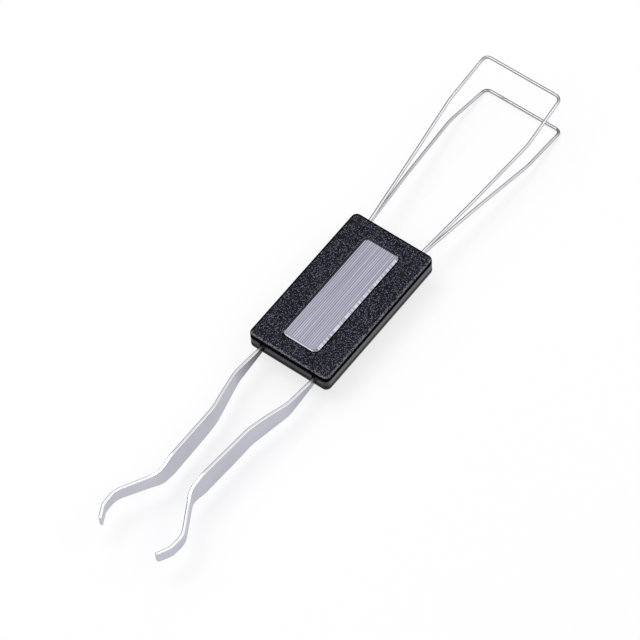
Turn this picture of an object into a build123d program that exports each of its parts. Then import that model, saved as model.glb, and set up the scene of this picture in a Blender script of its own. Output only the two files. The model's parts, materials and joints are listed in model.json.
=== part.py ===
from build123d import *
import os

# A two-ended keyboard puller lying on a desk: spring-wire keycap loops at one end of a flat two-shell
# handle, sheet-steel tweezers at the other. Millimetres, Z up, loops towards +Y.

# Handle shells
handle_length = 36.4
handle_width = 20.0
corner_radius = 1.3
lid_height = 0.64
top_round = 0.6
bottom_round = 0.4
groove_height = 0.67
groove_depth = 0.5
floor_thickness = 0.7
side_wall = 1.3
end_wall = 1.6
near_relief = 0.2
relief_depth = 0.8

# Pegs that hold the lid, and the sockets in the tray
peg_radius = 0.9
peg_length = 1.5
peg_clearance = 0.05
socket_wall = 0.8

# Nameplate
plate_length = 28.6
plate_width = 8.8
plate_corner = 1.3
plate_thickness = 0.7
plate_clearance = 0.2
pocket_depth = 0.5
pocket_chamfer = 0.12
bevel_width = 0.5
bevel_height = 0.25

# Wire loops: insets from the handle's sides, reaches from its far face, spreads from the loops' middle,
# which drops below the legs towards the bars; the upper leg stands proud of the tray, into the lid
wire_diameter = 0.65
wire_gap = 0.05
wire_clearance = 0.1
wire_proud = 0.28
bed_height = 1.27
leg_inset = 3.3
leg_depth = 7.5
toe_length = 3.0
toe_bend = 1.0
exit_reach = 0.7
exit_bend = 8.0
bow_inset = 1.6
bow_reach = 17.0
bow_spread = 1.74
bow_drop = 0.1
bow_bend = 80.0
shoulder_inset = 0.03
shoulder_reach = 32.8
shoulder_spread = 3.7
shoulder_drop = 0.34
shoulder_bend = 15.0
bar_inset = 0.45
bar_reach = 45.1
bar_spread = 5.9
bar_drop = 0.4
bar_bend = 1.3

# Tweezers in plan: half spacings of the strip's middle line, reaches from the handle's near face,
# runs along the tool between the jaws' bends
strip_thickness = 0.78
strip_clearance = 0.1
base_depth = 12.0
base_bend = 1.5
neck_inset = 3.45
neck_reach = 8.3
waist_half = 4.4
waist_reach = 18.2
waist_bend = 12.0
waist_end_half = 3.75
flare_run = 8.6
flare_bend = 5.0
cheek_half = 8.65
cheek_run = 3.6
cheek_bend = 5.0
cheek_end_half = 8.45
tip_half = 7.0
tip_run = 2.9
tip_bend = 3.0
tip_reach = 51.5

# Tweezers in side view: heights above the tray's inner floor
base_width = 1.45
blade_top = 5.7
blade_bottom = -1.25
shoulder_top_reach = 14.0
shoulder_top = 4.1
belly_reach = 9.0
belly_bottom = -1.3
keel_reach = 22.0
keel_bottom = -1.7
taper_run = 5.7
jaw_run = 13.3
jaw_top = 4.25
jaw_bottom = 0.4
tip_top = 4.25
tip_bottom = 1.35
edge_bend = 5.0
belly_bend = 14.0
keel_bend = 40.0
shoulder_top_bend = 25.0

# Spacings and reaches that follow the sizes above
leg_half = handle_width / 2 - leg_inset
bow_half = handle_width / 2 - bow_inset
shoulder_half = handle_width / 2 - shoulder_inset
bar_half = handle_width / 2 - bar_inset
neck_half = handle_width / 2 - neck_inset
cheek_end_reach = tip_reach - tip_run
cheek_reach = cheek_end_reach - cheek_run
waist_end_reach = cheek_reach - flare_run
jaw_reach = tip_reach - jaw_run
blade_reach = jaw_reach - taper_run

# Levels: the lower loop's bar lies on z = 0
lower_wire_z = floor_thickness + bed_height + wire_gap + wire_diameter / 2
upper_wire_z = lower_wire_z + wire_diameter + wire_gap
tray_height = upper_wire_z + wire_diameter / 2 - wire_proud
loop_level = (lower_wire_z + upper_wire_z) / 2
underside = bar_spread + bar_drop + wire_diameter / 2 - loop_level
inner_floor = underside + floor_thickness
rim = underside + tray_height
lid_base = rim + groove_height
lid_top = lid_base + lid_height

# The whole tool is centred on y = 0
far_extent = handle_length / 2 + bar_reach + wire_diameter / 2
near_extent = handle_length / 2 + tip_reach
handle_y = (near_extent - far_extent) / 2
near_face = handle_y - handle_length / 2
far_face = handle_y + handle_length / 2

# Places inside the handle
toe_y = far_face - leg_depth
base_y = near_face + base_depth
socket_radius = peg_radius + peg_clearance + socket_wall
near_socket_y = base_y - strip_thickness / 2 - strip_clearance - socket_radius
far_socket_y = toe_y + toe_bend
peg_places = [(0, near_socket_y), (0, far_socket_y)]
anchor_radius = toe_bend - wire_diameter / 2 - wire_clearance
anchor_places = [(side * (leg_half - toe_bend), toe_y + toe_bend) for side in (-1, 1)]

os.makedirs("parts", exist_ok=True)


# Bottom shell: a shallow tray with a raised wire bed, anchor pins, peg sockets and open-topped exits
with BuildPart() as bottom_shell:
    with BuildSketch(Plane.XY.offset(underside)):
        with Locations((0, handle_y)):
            RectangleRounded(handle_width, handle_length, corner_radius)
    extrude(amount=tray_height)
    fillet(bottom_shell.faces().sort_by(Axis.Z)[0].edges(), radius=bottom_round)
    with BuildSketch(Plane.XY.offset(inner_floor)):
        with Locations((0, handle_y)):
            Rectangle(handle_width - 2 * side_wall, handle_length - 2 * end_wall)
    extrude(amount=tray_height, mode=Mode.SUBTRACT)

    bed_near = toe_y - 2 * wire_diameter
    bed_far = far_face - end_wall
    with BuildSketch(Plane.XY.offset(inner_floor)):
        with Locations((0, (bed_near + bed_far) / 2)):
            Rectangle(handle_width - 2 * side_wall, bed_far - bed_near)
    extrude(amount=bed_height)
    with BuildSketch(Plane.XY.offset(inner_floor)):
        with Locations(*peg_places):
            Circle(socket_radius)
        with Locations(*anchor_places):
            Circle(anchor_radius)
    extrude(amount=rim - inner_floor)
    with BuildSketch(Plane.XY.offset(rim)):
        with Locations(*peg_places):
            Circle(peg_radius + peg_clearance)
    extrude(amount=-(peg_length + peg_clearance), mode=Mode.SUBTRACT)

    with BuildSketch(Plane.XY.offset(inner_floor + bed_height)):
        with Locations((-leg_half, far_face), (leg_half, far_face)):
            Rectangle(wire_diameter + 2 * wire_clearance, 3 * end_wall)
    extrude(amount=tray_height, mode=Mode.SUBTRACT)
    with BuildSketch(Plane.XY.offset(inner_floor)):
        with Locations((-neck_half, near_face), (neck_half, near_face)):
            Rectangle(strip_thickness + 2 * strip_clearance, 3 * end_wall)
    extrude(amount=tray_height, mode=Mode.SUBTRACT)
    with BuildSketch(Plane.XY.offset(rim)):
        with Locations((0, near_face)):
            Rectangle(handle_width - 2 * corner_radius, 2 * relief_depth)
    extrude(amount=-near_relief, mode=Mode.SUBTRACT)
bottom_shell.part.label = "bottom_shell"
export_step(bottom_shell.part, "parts/bottom_shell.step")


# Top shell: a lid on a set-in step that leaves the shadow groove, with pegs and wire channels below and
# a pocket on top
with BuildPart() as top_shell:
    with BuildSketch(Plane.XY.offset(lid_base)):
        with Locations((0, handle_y)):
            RectangleRounded(handle_width, handle_length, corner_radius)
    extrude(amount=lid_height)
    fillet(top_shell.faces().sort_by(Axis.Z)[-1].edges(), radius=top_round)
    with BuildSketch(Plane.XY.offset(rim)):
        with Locations((0, handle_y)):
            RectangleRounded(
                handle_width - 2 * groove_depth,
                handle_length - 2 * groove_depth,
                corner_radius - groove_depth,
            )
    extrude(amount=groove_height)
    with BuildSketch(Plane.XY.offset(rim)):
        with Locations(*peg_places):
            Circle(peg_radius)
    extrude(amount=-peg_length)
    channel_width = wire_diameter + 2 * wire_clearance
    channel_near = toe_y - channel_width / 2
    with BuildSketch(Plane.XY.offset(rim)):
        for side in (-1, 1):
            with Locations((side * leg_half, (channel_near + far_face) / 2)):
                Rectangle(channel_width, far_face - channel_near)
            with Locations((side * (leg_half - toe_length / 2), toe_y)):
                Rectangle(toe_length + channel_width, channel_width)
            with Locations((side * (leg_half - toe_bend / 2), toe_y + toe_bend / 2)):
                Rectangle(toe_bend + channel_width, toe_bend + channel_width)
    extrude(amount=wire_proud + wire_clearance, mode=Mode.SUBTRACT)
    with BuildSketch(Plane.XY.offset(lid_top)):
        with Locations((0, handle_y)):
            RectangleRounded(
                plate_width + 2 * plate_clearance,
                plate_length + 2 * plate_clearance,
                plate_corner + plate_clearance,
            )
    extrude(amount=-pocket_depth, mode=Mode.SUBTRACT)
    chamfer(top_shell.faces().sort_by(Axis.Z)[-1].inner_wires()[0].edges(), length=pocket_chamfer)
top_shell.part.label = "top_shell"
export_step(top_shell.part, "parts/top_shell.step")


# Nameplate: a bare bevelled plate seated in the lid's pocket
with BuildPart() as nameplate:
    with BuildSketch(Plane.XY.offset(lid_top - pocket_depth)):
        with Locations((0, handle_y)):
            RectangleRounded(plate_width, plate_length, plate_corner)
    extrude(amount=plate_thickness)
    plate_face = nameplate.faces().sort_by(Axis.Z)[-1]
    chamfer(plate_face.edges(), length=bevel_width, length2=bevel_height, reference=plate_face)
nameplate.part.label = "nameplate"
export_step(nameplate.part, "parts/nameplate.step")


def loop_half(side, wire_z, lift):
    """Corners of one side, from the bar inwards; lift is +1 for the upper loop, -1 for the lower."""
    level = underside + loop_level
    return [
        (side * bar_half, far_face + bar_reach, level - bar_drop + lift * bar_spread),
        (side * shoulder_half, far_face + shoulder_reach, level - shoulder_drop + lift * shoulder_spread),
        (side * bow_half, far_face + bow_reach, level - bow_drop + lift * bow_spread),
        (side * leg_half, far_face + exit_reach, underside + wire_z),
        (side * leg_half, toe_y, underside + wire_z),
        (side * (leg_half - toe_length), toe_y, underside + wire_z),
    ]


half_bends = [bar_bend, shoulder_bend, bow_bend, exit_bend, toe_bend]
loop_bends = [*reversed(half_bends), *half_bends]

# Upper wire loop: one round wire from toe to toe, hooked round the anchor pins
with BuildPart() as upper_wire_loop:
    with BuildLine():
        upper_path = FilletPolyline(
            *reversed(loop_half(-1, upper_wire_z, 1)),
            *loop_half(1, upper_wire_z, 1),
            radius=loop_bends,
        )
    with BuildSketch(Plane(origin=upper_path @ 0, z_dir=upper_path % 0)):
        Circle(wire_diameter / 2)
    sweep(path=upper_path)
upper_wire_loop.part.label = "upper_wire_loop"
export_step(upper_wire_loop.part, "parts/upper_wire_loop.step")


# Lower wire loop: the same wire below it, bent the other way
with BuildPart() as lower_wire_loop:
    with BuildLine():
        lower_path = FilletPolyline(
            *reversed(loop_half(-1, lower_wire_z, -1)),
            *loop_half(1, lower_wire_z, -1),
            radius=loop_bends,
        )
    with BuildSketch(Plane(origin=lower_path @ 0, z_dir=lower_path % 0)):
        Circle(wire_diameter / 2)
    sweep(path=lower_path)
lower_wire_loop.part.label = "lower_wire_loop"
export_step(lower_wire_loop.part, "parts/lower_wire_loop.step")


# Tweezers: one strip on edge, folded to a U in the tray; its plan band is trimmed by its side outline
tip_slope = (cheek_end_half - tip_half) / (tip_reach - cheek_end_reach)
band_end = (tip_half - tip_slope * strip_thickness, near_face - tip_reach - strip_thickness)
arm_corners = [
    (neck_half, near_face - neck_reach),
    (waist_half, near_face - waist_reach),
    (waist_end_half, near_face - waist_end_reach),
    (cheek_half, near_face - cheek_reach),
    (cheek_end_half, near_face - cheek_end_reach),
    band_end,
]
arm_bends = [waist_bend, waist_bend, flare_bend, cheek_bend, tip_bend]
right_arm = [(neck_half, base_y), *arm_corners]
left_arm = [(-x, y) for x, y in reversed(right_arm)]
base_back = base_y + strip_thickness
top_bends = [0, 0, shoulder_top_bend, edge_bend, edge_bend, 0]
bottom_bends = [0, edge_bend, edge_bend, keel_bend, belly_bend, 0, 0]
outline_bends = [*top_bends, *bottom_bends]

with BuildPart() as switch_tweezers:
    with BuildSketch(Plane.XY.offset(inner_floor + keel_bottom)):
        with BuildLine():
            FilletPolyline(
                *left_arm,
                *right_arm,
                radius=[*reversed(arm_bends), base_bend, base_bend, *arm_bends],
            )
        trace(line_width=strip_thickness)
    extrude(amount=blade_top - keel_bottom)
    with BuildSketch(Plane.YZ):
        with BuildLine():
            FilletPolyline(
                (base_back, inner_floor + base_width),
                (near_face, inner_floor + base_width),
                (near_face - shoulder_top_reach, inner_floor + shoulder_top),
                (near_face - blade_reach, inner_floor + blade_top),
                (near_face - jaw_reach, inner_floor + jaw_top),
                (near_face - tip_reach, inner_floor + tip_top),
                (near_face - tip_reach, inner_floor + tip_bottom),
                (near_face - jaw_reach, inner_floor + jaw_bottom),
                (near_face - blade_reach, inner_floor + blade_bottom),
                (near_face - keel_reach, inner_floor + keel_bottom),
                (near_face - belly_reach, inner_floor + belly_bottom),
                (near_face, inner_floor),
                (base_back, inner_floor),
                radius=outline_bends,
                close=True,
            )
        make_face()
    extrude(amount=handle_width, both=True, mode=Mode.INTERSECT)
switch_tweezers.part.label = "switch_tweezers"
export_step(switch_tweezers.part, "parts/switch_tweezers.step")
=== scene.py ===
"""Looks, light and camera for the keyboard puller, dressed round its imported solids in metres."""

import json
import math

import bpy
from mathutils import Matrix, Vector

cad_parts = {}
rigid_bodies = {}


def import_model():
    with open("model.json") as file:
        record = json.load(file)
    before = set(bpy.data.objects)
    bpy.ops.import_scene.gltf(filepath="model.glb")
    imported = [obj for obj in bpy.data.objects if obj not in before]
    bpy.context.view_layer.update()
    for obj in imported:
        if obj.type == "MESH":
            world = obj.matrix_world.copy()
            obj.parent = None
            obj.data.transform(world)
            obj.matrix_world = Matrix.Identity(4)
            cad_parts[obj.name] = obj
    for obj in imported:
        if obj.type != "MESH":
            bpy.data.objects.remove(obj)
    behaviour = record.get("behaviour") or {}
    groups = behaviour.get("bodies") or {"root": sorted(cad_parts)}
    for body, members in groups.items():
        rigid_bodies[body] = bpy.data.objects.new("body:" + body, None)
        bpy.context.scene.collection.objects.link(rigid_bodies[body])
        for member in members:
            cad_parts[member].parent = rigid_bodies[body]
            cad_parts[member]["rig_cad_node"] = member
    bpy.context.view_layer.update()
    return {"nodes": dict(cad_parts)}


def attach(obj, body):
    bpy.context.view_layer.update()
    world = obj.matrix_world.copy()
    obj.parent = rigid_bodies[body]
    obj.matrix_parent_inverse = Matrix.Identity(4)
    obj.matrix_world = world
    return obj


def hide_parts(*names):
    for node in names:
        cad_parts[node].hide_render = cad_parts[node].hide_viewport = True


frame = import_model()

MM = 0.001

# The camera's place about the middle of the handle, in degrees and metres
CAMERA_AZIMUTH = 40.425
CAMERA_ELEVATION = 56.794
CAMERA_ROLL = -4.208
CAMERA_DISTANCE = 910.74 * MM
CAMERA_SIDE = -4.386 * MM
CAMERA_RISE = -3.919 * MM
HANDLE_MIDDLE = Vector((0.0, 3.0375, 6.13)) * MM

# The lens in pixels of the square picture, its sensor in millimetres, and what it sees in metres
LENS_PIXELS = 4500.0
PICTURE_PIXELS = 640.0
SENSOR_WIDTH = 36.0
NEAREST_SEEN = 0.01
FURTHEST_SEEN = 20.0

# Heights in millimetres: the tray's rim, the lid's top, and a little over the tool's highest point
RIM = 7.02
LID_TOP = 8.33
HIGHEST = 12.5

# The heights between which the lid's wall, painted in shade, turns into its rounded edge
LID_EDGE = (LID_TOP - 0.33, LID_TOP - 0.17)

# How much of the tray's satin shows at each height, the rest being painted shade: little along a low line,
# none in the groove
SATIN_UNSHADED = (
    (4.45, 0.8),
    (4.95, 0.25),
    (5.25, 0.3),
    (5.75, 1.0),
    (RIM - 0.04, 1.0),
    (RIM - 0.005, 0.0),
)

# Places in millimetres along the tool: the handle's near end, and the far end of the wire loops
NEAR_FACE = -15.1625
LOOP_END = 66.66

# Where the tray's near end, painted in shade, stops, and where the legs of the loops turn into their cross
# bars
SHADED_END = (NEAR_FACE + 0.3, NEAR_FACE + 0.9)
CROSS_BAR = (LOOP_END - 2.5, LOOP_END - 1.0)

# Millimetres from the handle over which the painted shade on the arms' sides fades, and across from the
# right arm to the left, where it deepens
DARK_RUN = (1.0, 10.0)
LEFT_ARM = (1.0, -1.0)

# How far a surface faces up, or to the far left, where one finish gives way to another, mostly where a
# painted highlight or painted shade begins
LID_ROUNDS = (0.999, 0.97)
LID_FAR_LEFT = (0.15, 0.03)
PLATE_BEVELS = (0.15, 0.3)
STRIP_LEFT = (-0.5, -0.15)
STRIP_UP = (0.3, 0.6)
WIRE_UP = (-0.2, 0.3)
WIRE_FAR_LEFT = (0.4, 0.0)

# How much of the wire's far side counts as its flank painted in shade: on the legs, on the bars, and more
# for the bars
LEG_FAR_SHARE = 0.2
BAR_FAR_SHARE = 1.0
BAR_FAR_MORE = 0.48

# Patterns, as repeats in a metre along each axis
SPARKS = 4200.0
SATIN_CLOUDS = (2600.0, 2600.0, 2600.0)
BRUSH_LINES = (700.0, 14.0, 700.0)
HAIRLINES = (11000.0, 40.0, 11000.0)
BEVEL_RIBS = (60.0, 4500.0, 60.0)
STEEL_MOTTLE = (300.0, 160.0, 300.0)
DRAW_MARKS = (1500.0, 120.0, 1500.0)

# The plate's brushing: the shares of its lines and hairs, and the noise that its hairs and ribs stretch to
LINE_SHARE = 0.6
HAIR_SHARE = 0.4
HAIR_RANGE = (0.3, 0.7)
RIB_RANGE = (0.35, 0.65)

# How the copies of the solids are finished: the distance that welds their corners, the angle under which
# neighbouring faces are one, the width, segments and least angle of the sheet steel's eased edges, and
# how far large faces lead where normals are averaged
WELD = 0.0005 * MM
ONE_FACE = math.radians(0.5)
EASE = 0.24 * MM
EASE_SEGMENTS = 3
EASED_ANGLE = math.radians(50.0)
LARGE_FACES_LEAD = 100

# The angles up to which edges are smoothed
SMOOTH_HANDLE = math.radians(35.0)
SMOOTH_PLATE = math.radians(20.0)
SMOOTH_STEEL = math.radians(35.0)
SMOOTH_WIRE = math.radians(60.0)

# The floor's width in metres, how far it lies under the tool, and how white it looks
FLOOR_WIDTH = 6.0
FLOOR_DROP = 0.02 * MM
FLOOR_WHITE = 0.75

# The rays that see the white of the floor and the sky: straight, mirrored and passed through glass
SEEN_BY = ("Is Camera Ray", "Is Glossy Ray", "Is Transmission Ray")

# The sky's light from the horizon up to straight overhead
SKY_STRENGTH = 1.08
SKY = (
    (0.0, (0.02, 0.02, 0.025)),
    (0.34, (0.04, 0.04, 0.045)),
    (0.52, (0.55, 0.55, 0.57)),
    (0.66, (0.82, 0.82, 0.84)),
    (1.0, (0.90, 0.90, 0.92)),
)

# The lamps: name, place and width in metres, power in watts
LAMPS = (
    ("key_lamp", (-0.31, -0.05, 0.95), 0.45, 3.2),
    ("right_panel", (0.50, 0.42, 0.76), 0.50, 0.9),
    ("near_panel", (-0.355, -0.45, 0.82), 0.45, 0.4),
    ("back_panel", (-0.32, 0.85, 0.40), 0.40, 0.3),
)


class Shade:
    """A shader socket that takes part in sums, so that maths reads as an expression."""

    def __init__(self, finish, socket):
        self.finish = finish
        self.socket = socket

    def join(self, operation, first, second):
        return self.finish.node("ShaderNodeMath", {"operation": operation}, {0: first, 1: second})

    def __add__(self, other):
        return self.join("ADD", self, other)

    def __radd__(self, other):
        return self.join("ADD", other, self)

    def __sub__(self, other):
        return self.join("SUBTRACT", self, other)

    def __rsub__(self, other):
        return self.join("SUBTRACT", other, self)

    def __mul__(self, other):
        return self.join("MULTIPLY", self, other)

    def __rmul__(self, other):
        return self.join("MULTIPLY", other, self)

    def __truediv__(self, other):
        return self.join("DIVIDE", self, other)


class Finish:
    """The nodes that make a material's surface or the light of the sky."""

    def __init__(self, owner, surface="Principled BSDF", output="Material Output"):
        owner.use_nodes = True
        self.owner = owner
        self.tree = owner.node_tree
        self.surface = self.tree.nodes[surface]
        self.output = self.tree.nodes[output]

    def node(self, kind, settings=None, sockets=None, output=0):
        """Adds a node: its settings first, then the values or links of its sockets."""
        made = self.tree.nodes.new(kind)
        for name, value in (settings or {}).items():
            if name == "stops":
                fill_ramp(made.color_ramp, value)
            else:
                setattr(made, name, value)
        self.feed(made, sockets or {})
        return Shade(self, made.outputs[output])

    def feed(self, target, sockets):
        """Links or sets a node's sockets, and gives each plain colour its alpha."""
        for name, value in sockets.items():
            socket = target.inputs[name]
            if isinstance(value, Shade):
                self.tree.links.new(value.socket, socket)
            elif socket.type == "RGBA":
                socket.default_value = (*value, 1.0)
            else:
                socket.default_value = value

    def wear(self, **sockets):
        """Feeds the surface shader, with underscores for spaces in the sockets' names."""
        self.feed(self.surface, {name.replace("_", " "): value for name, value in sockets.items()})

    def lit(self):
        """The surface shader itself."""
        return Shade(self, self.surface.outputs[0])

    def show(self, factor, first, second):
        """Shows the first shader where factor is 0, and the second where it is 1."""
        both = self.node("ShaderNodeMixShader", sockets={0: factor, 1: first, 2: second})
        self.feed(self.output, {"Surface": both})

    def paint_shade(self, factor, colour):
        """Paints a dark shade where factor is 0, as in a recess that no light reaches or a side turned from
        the light: painted shade.
        """
        painted_dark = self.node("ShaderNodeBsdfDiffuse", sockets={"Color": colour})
        self.show(factor, painted_dark, self.lit())

    def seen(self):
        """1 for the rays that see the white, and 0 for the rest."""
        straight, mirrored, passed = (self.node("ShaderNodeLightPath", output=ray) for ray in SEEN_BY)
        return straight + mirrored + passed

    def spot(self):
        """The place on the tool, in metres."""
        return self.node("ShaderNodeTexCoord", output="Object")

    def part(self, vector, axis):
        return self.node("ShaderNodeSeparateXYZ", sockets={0: vector}, output=axis)

    def along(self, axis):
        """Millimetres along one axis of the tool."""
        return self.part(self.spot(), axis) / MM

    def facing(self, axis):
        """How far the surface faces along one axis."""
        return self.part(self.node("ShaderNodeNewGeometry", output="Normal"), axis)

    def fade(self, value, low, high):
        """A share that goes from 0 at low to 1 at high."""
        return self.node(
            "ShaderNodeMapRange",
            {"clamp": True},
            {"Value": value, "From Min": low, "From Max": high},
        )

    def spread(self, repeats):
        """The place on the tool, scaled so that a pattern repeats so often in a metre."""
        return self.node("ShaderNodeMapping", sockets={"Vector": self.spot(), "Scale": repeats})

    def noise(self, repeats, detail):
        """Soft random shades."""
        return self.node(
            "ShaderNodeTexNoise",
            sockets={"Vector": self.spread(repeats), "Scale": 1.0, "Detail": detail, "Roughness": 0.5},
        )

    def ramp(self, value, *stops):
        return self.node("ShaderNodeValToRGB", {"stops": stops}, {"Fac": value})

    def mix(self, factor, first, second):
        """The first colour where factor is 0, and the second where it is 1."""
        return self.node(
            "ShaderNodeMix",
            {"data_type": "RGBA"},
            {"Factor": factor, 6: first, 7: second},
            output=2,
        )

    def bump(self, height, strength, distance):
        return self.node(
            "ShaderNodeBump",
            sockets={"Height": height, "Strength": strength, "Distance": distance},
        )


def fill_ramp(ramp, stops):
    while len(ramp.elements) > 1:
        ramp.elements.remove(ramp.elements[-1])
    for index, (place, colour) in enumerate(stops):
        step = ramp.elements[0] if index == 0 else ramp.elements.new(place)
        step.position = place
        step.color = (*colour, 1.0)


def between(share, low, high):
    """A value that goes from low to high as the share goes from 0 to 1."""
    return low + (high - low) * share


def spark_black():
    """Black moulded plastic of the lid, with a fine spark texture whose pale flecks are partly painted
    glints.

    The lid's rounded edge is painted paler as a highlight, except on the far and left sides, which
    like its walls are painted in dark shade.
    """
    finish = Finish(bpy.data.materials.new("spark_black"))
    pits = finish.node(
        "ShaderNodeTexVoronoi",
        sockets={"Vector": finish.spot(), "Scale": SPARKS, "Randomness": 0.7},
        output="Distance",
    )
    grain = 1.0 - pits
    # Pale flecks of the spark texture, partly painted glints
    fleck_and_glint = finish.ramp(
        grain,
        (0.40, (0.0030, 0.0031, 0.0050)),
        (0.58, (0.0120, 0.0125, 0.0190)),
        (0.70, (0.0760, 0.0790, 0.1150)),
        (0.90, (0.3300, 0.3400, 0.4800)),
    )
    # Painted highlight: the rounded edge is painted paler than the flat top
    painted_edge_highlight = finish.ramp(
        grain,
        (0.35, (0.010, 0.010, 0.013)),
        (0.65, (0.225, 0.227, 0.265)),
    )
    rounded = finish.fade(finish.facing("Z"), *LID_ROUNDS)
    finish.wear(
        Base_Color=finish.mix(rounded, fleck_and_glint, painted_edge_highlight),
        Roughness=between(grain, 0.34, 0.48),
        Specular_IOR_Level=0.07,
        Normal=finish.bump(grain, 0.5, 0.05 * MM),
    )
    # Painted shade: the lid's walls and its far and left sides are painted near black
    above_wall = finish.fade(finish.along("Z"), *LID_EDGE)
    far_left = finish.facing("Y") - finish.facing("X")
    finish.paint_shade(above_wall * finish.fade(far_left, *LID_FAR_LEFT), (0.002, 0.002, 0.003))
    return finish.owner


def satin_black():
    """Smoother black plastic of the tray, with painted shade inside the groove, along a low line and on the
    near end.
    """
    finish = Finish(bpy.data.materials.new("satin_black"))
    cloud = finish.noise(SATIN_CLOUDS, 2.0)
    finish.wear(
        Base_Color=finish.mix(cloud, (0.010, 0.010, 0.014), (0.020, 0.020, 0.026)),
        Roughness=between(cloud, 0.28, 0.40),
        Normal=finish.bump(cloud, 0.2, 0.03 * MM),
    )
    # Painted shade: near black in the groove and along a low line, and in part on the near end
    stops = [(height / HIGHEST, (shown, shown, shown)) for height, shown in SATIN_UNSHADED]
    unshaded_by_height = finish.ramp(finish.along("Z") / HIGHEST, *stops)
    past_end = finish.fade(finish.along("Y"), *SHADED_END)
    finish.paint_shade(unshaded_by_height * between(past_end, 0.6, 1.0), (0.003, 0.003, 0.004))
    return finish.owner


def brushed_plate():
    """Lilac-grey aluminium brushed along the tool, with bevels ribbed on the right and painted in dark shade
    on the far left.
    """
    finish = Finish(bpy.data.materials.new("brushed_plate"))
    hair = finish.noise(HAIRLINES, 0.0)
    line = finish.node(
        "ShaderNodeTexWave",
        {"bands_direction": "X"},
        {
            "Vector": finish.spread(BRUSH_LINES),
            "Scale": 1.0,
            "Distortion": 1.2,
            "Detail": 1.0,
            "Detail Scale": 0.7,
        },
        output="Fac",
    )
    streak = LINE_SHARE * line + HAIR_SHARE * finish.fade(hair, *HAIR_RANGE)
    flat = finish.mix(streak, (0.155, 0.155, 0.193), (0.545, 0.535, 0.65))
    rib = finish.fade(finish.noise(BEVEL_RIBS, 0.0), *RIB_RANGE)
    ribbed = finish.mix(rib, (0.18, 0.18, 0.21), (0.38, 0.38, 0.43))
    near_right = finish.fade(finish.facing("X") - finish.facing("Y"), *PLATE_BEVELS)
    far_left = finish.fade(finish.facing("Y") - finish.facing("X"), *PLATE_BEVELS)
    faces = finish.mix(near_right, flat, ribbed)
    finish.wear(
        # Painted shade: the far-left bevels are painted near black
        Base_Color=finish.mix(far_left, faces, (0.03, 0.03, 0.04)),
        Metallic=1.0,
        Roughness=between(hair, 0.22, 0.30),
    )
    return finish.owner


def strip_steel():
    """Satin sheet steel: bright cut edges with painted shade on the left, and painted shade on the sides by
    the handle.
    """
    finish = Finish(bpy.data.materials.new("strip_steel"))
    mottle = finish.noise(STEEL_MOTTLE, 2.0)
    sheet = finish.mix(mottle, (0.50, 0.50, 0.57), (0.60, 0.60, 0.66))
    reach = NEAR_FACE - finish.along("Y")
    left_arm = finish.fade(finish.along("X"), *LEFT_ARM)
    # Painted shade: the arms' sides darken near the handle, more on the left arm
    handle_shade = (1.0 - finish.fade(reach, *DARK_RUN)) * between(left_arm, 0.3, 0.9)
    side = finish.mix(1.0 - handle_shade, (0.03, 0.03, 0.04), sheet)
    # Painted shade: up-facing cut edges that lean left are painted near black
    not_left = finish.fade(finish.facing("X"), *STRIP_LEFT)
    cut_edge = finish.mix(not_left, (0.02, 0.02, 0.03), (0.66, 0.66, 0.69))
    upward = finish.fade(finish.facing("Z"), *STRIP_UP)
    finish.wear(
        Base_Color=finish.mix(upward, side, cut_edge),
        Metallic=1.0,
        Specular_Tint=(0.85, 0.85, 0.87),
        Roughness=between(mottle, 0.24, 0.34),
    )
    return finish.owner


def bright_wire():
    """Drawn spring wire, bright on its crown, with painted shade on its flanks and bars, most of all the
    bars' far side.
    """
    finish = Finish(bpy.data.materials.new("bright_wire"))
    streak = finish.noise(DRAW_MARKS, 1.0)
    leg_steel = finish.mix(streak, (0.53, 0.53, 0.56), (0.65, 0.65, 0.67))
    # Painted shade: the cross bars are painted darker than the legs
    shaded_bar_steel = finish.mix(streak, (0.32, 0.32, 0.34), (0.42, 0.42, 0.44))
    bar = finish.fade(finish.along("Y"), *CROSS_BAR)
    steel = finish.mix(bar, leg_steel, shaded_bar_steel)
    far = between(bar, LEG_FAR_SHARE, BAR_FAR_SHARE) * finish.facing("Y")
    far_left = far - finish.facing("X") + BAR_FAR_MORE * bar
    # Painted shade: outside the crown, the flanks underneath and to the far left are painted dark
    crown = finish.fade(finish.facing("Z"), *WIRE_UP) * finish.fade(far_left, *WIRE_FAR_LEFT)
    finish.wear(
        Base_Color=finish.mix(crown, (0.17, 0.17, 0.18), steel),
        Metallic=1.0,
        Specular_Tint=(0.05, 0.05, 0.06),
        Roughness=between(streak, 0.12, 0.18),
    )
    return finish.owner


def dress(piece, material):
    piece.data.materials.clear()
    piece.data.materials.append(material)


def pick(piece):
    """Makes one object the selected and active one."""
    bpy.ops.object.select_all(action="DESELECT")
    piece.select_set(True)
    bpy.context.view_layer.objects.active = piece


def apply_modifier(piece, kind, **settings):
    made = piece.modifiers.new(kind.lower(), kind)
    for name, value in settings.items():
        setattr(made, name, value)
    bpy.ops.object.modifier_apply(modifier=made.name)


def ease_edges(piece):
    """Rounds the sharp edges a little, so that they catch the light."""
    apply_modifier(
        piece,
        "BEVEL",
        width=EASE,
        segments=EASE_SEGMENTS,
        limit_method="ANGLE",
        angle_limit=EASED_ANGLE,
    )


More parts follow.
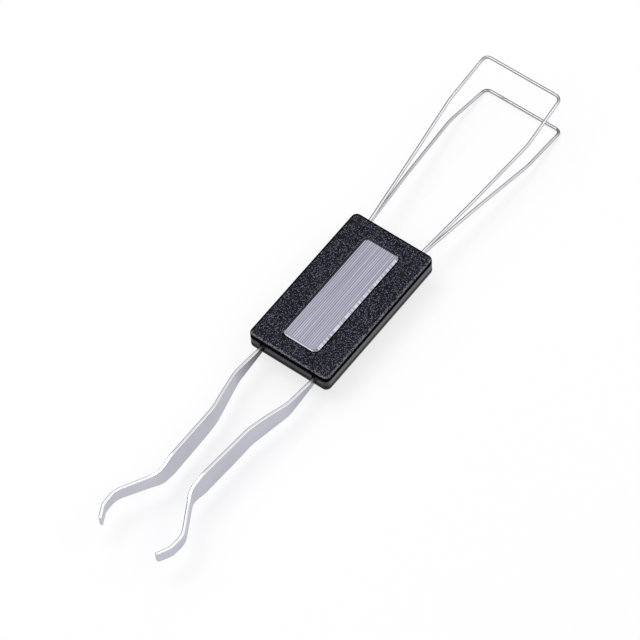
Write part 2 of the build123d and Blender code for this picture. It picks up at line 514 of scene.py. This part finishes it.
def finished_copy(node, name, material, smooth, eased=False):
    """Puts a welded and smoothed copy of a solid in that solid's place, if need be with eased edges."""
    pick(frame["nodes"][node])
    bpy.ops.object.duplicate()
    piece = bpy.context.object
    del piece["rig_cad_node"]
    piece.name = name
    piece.data.name = name
    bpy.ops.mesh.customdata_custom_splitnormals_clear()
    bpy.ops.object.mode_set(mode="EDIT")
    bpy.ops.mesh.select_all(action="SELECT")
    bpy.ops.mesh.remove_doubles(threshold=WELD)
    if eased:
        bpy.ops.mesh.dissolve_limited(angle_limit=ONE_FACE)
    bpy.ops.object.mode_set(mode="OBJECT")
    if eased:
        ease_edges(piece)
    bpy.ops.object.shade_smooth_by_angle(angle=smooth)
    apply_modifier(piece, "WEIGHTED_NORMAL", mode="FACE_AREA", weight=LARGE_FACES_LEAD, keep_sharp=True)
    dress(piece, material)
    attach(piece, "root")
    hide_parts(node)


def white_floor():
    """A wide pale floor that looks nearly white, with the tool's shadow left on it."""
    bpy.ops.object.select_all(action="DESELECT")
    bpy.ops.mesh.primitive_plane_add(size=FLOOR_WIDTH, location=(0.0, 0.0, -FLOOR_DROP))
    floor = bpy.context.object
    floor.name = "floor"
    finish = Finish(bpy.data.materials.new("floor_white"))
    finish.wear(Base_Color=(0.92, 0.92, 0.92), Roughness=0.9)
    glow = finish.node("ShaderNodeEmission", sockets={"Color": (0.992, 0.992, 1.0), "Strength": 1.0})
    finish.show(FLOOR_WHITE * finish.seen(), finish.lit(), glow)
    dress(floor, finish.owner)


def studio_sky():
    """A soft white dome whose light goes dark towards the horizon, and which looks plain white itself."""
    sky = Finish(bpy.data.worlds.new("studio"), "Background", "World Output")
    rise = sky.part(sky.node("ShaderNodeTexCoord", output="Generated"), "Z")
    sky.wear(Color=sky.ramp(rise, *SKY), Strength=SKY_STRENGTH)
    white = sky.node("ShaderNodeBackground", sockets={"Color": (1.0, 1.0, 1.0)})
    sky.show(sky.seen(), sky.lit(), white)
    bpy.context.scene.world = sky.owner


def soft_lamp(name, place, width, power):
    """A square soft lamp that looks at the tool."""
    bpy.ops.object.light_add(type="AREA", location=place)
    lamp = bpy.context.object
    lamp.name = name
    lamp.data.shape = "SQUARE"
    lamp.data.size = width
    lamp.data.energy = power
    lamp.rotation_euler = (-Vector(place)).to_track_quat("-Z", "Y").to_euler()


def photo_camera():
    """The camera at the photograph's viewing angle."""
    azimuth = math.radians(CAMERA_AZIMUTH)
    elevation = math.radians(CAMERA_ELEVATION)
    roll = math.radians(CAMERA_ROLL)
    level = math.cos(elevation)
    right = Vector((math.cos(azimuth), math.sin(azimuth), 0.0))
    back = Vector((math.sin(azimuth) * level, -math.cos(azimuth) * level, math.sin(elevation)))
    up = back.cross(right)
    across = math.cos(roll) * right + math.sin(roll) * up
    rise = math.cos(roll) * up - math.sin(roll) * right
    place = HANDLE_MIDDLE + CAMERA_DISTANCE * back + CAMERA_SIDE * across + CAMERA_RISE * rise
    lens = bpy.data.cameras.new("camera")
    lens.sensor_width = SENSOR_WIDTH
    lens.lens = LENS_PIXELS / PICTURE_PIXELS * SENSOR_WIDTH
    lens.clip_start = NEAREST_SEEN
    lens.clip_end = FURTHEST_SEEN
    camera = bpy.data.objects.new("camera", lens)
    bpy.context.scene.collection.objects.link(camera)
    turn = Matrix((across, rise, back)).transposed()
    camera.matrix_world = Matrix.Translation(place) @ turn.to_4x4()
    bpy.context.scene.camera = camera


bpy.context.scene.view_settings.view_transform = "Standard"

finished_copy("top_shell", "handle_lid", spark_black(), SMOOTH_HANDLE)
finished_copy("bottom_shell", "handle_tray", satin_black(), SMOOTH_HANDLE)
finished_copy("nameplate", "bare_plate", brushed_plate(), SMOOTH_PLATE)
finished_copy("switch_tweezers", "steel_tweezers", strip_steel(), SMOOTH_STEEL, eased=True)
wire = bright_wire()
finished_copy("upper_wire_loop", "upper_hook_wire", wire, SMOOTH_WIRE)
finished_copy("lower_wire_loop", "lower_hook_wire", wire, SMOOTH_WIRE)

white_floor()
studio_sky()
for lamp in LAMPS:
    soft_lamp(*lamp)
photo_camera()
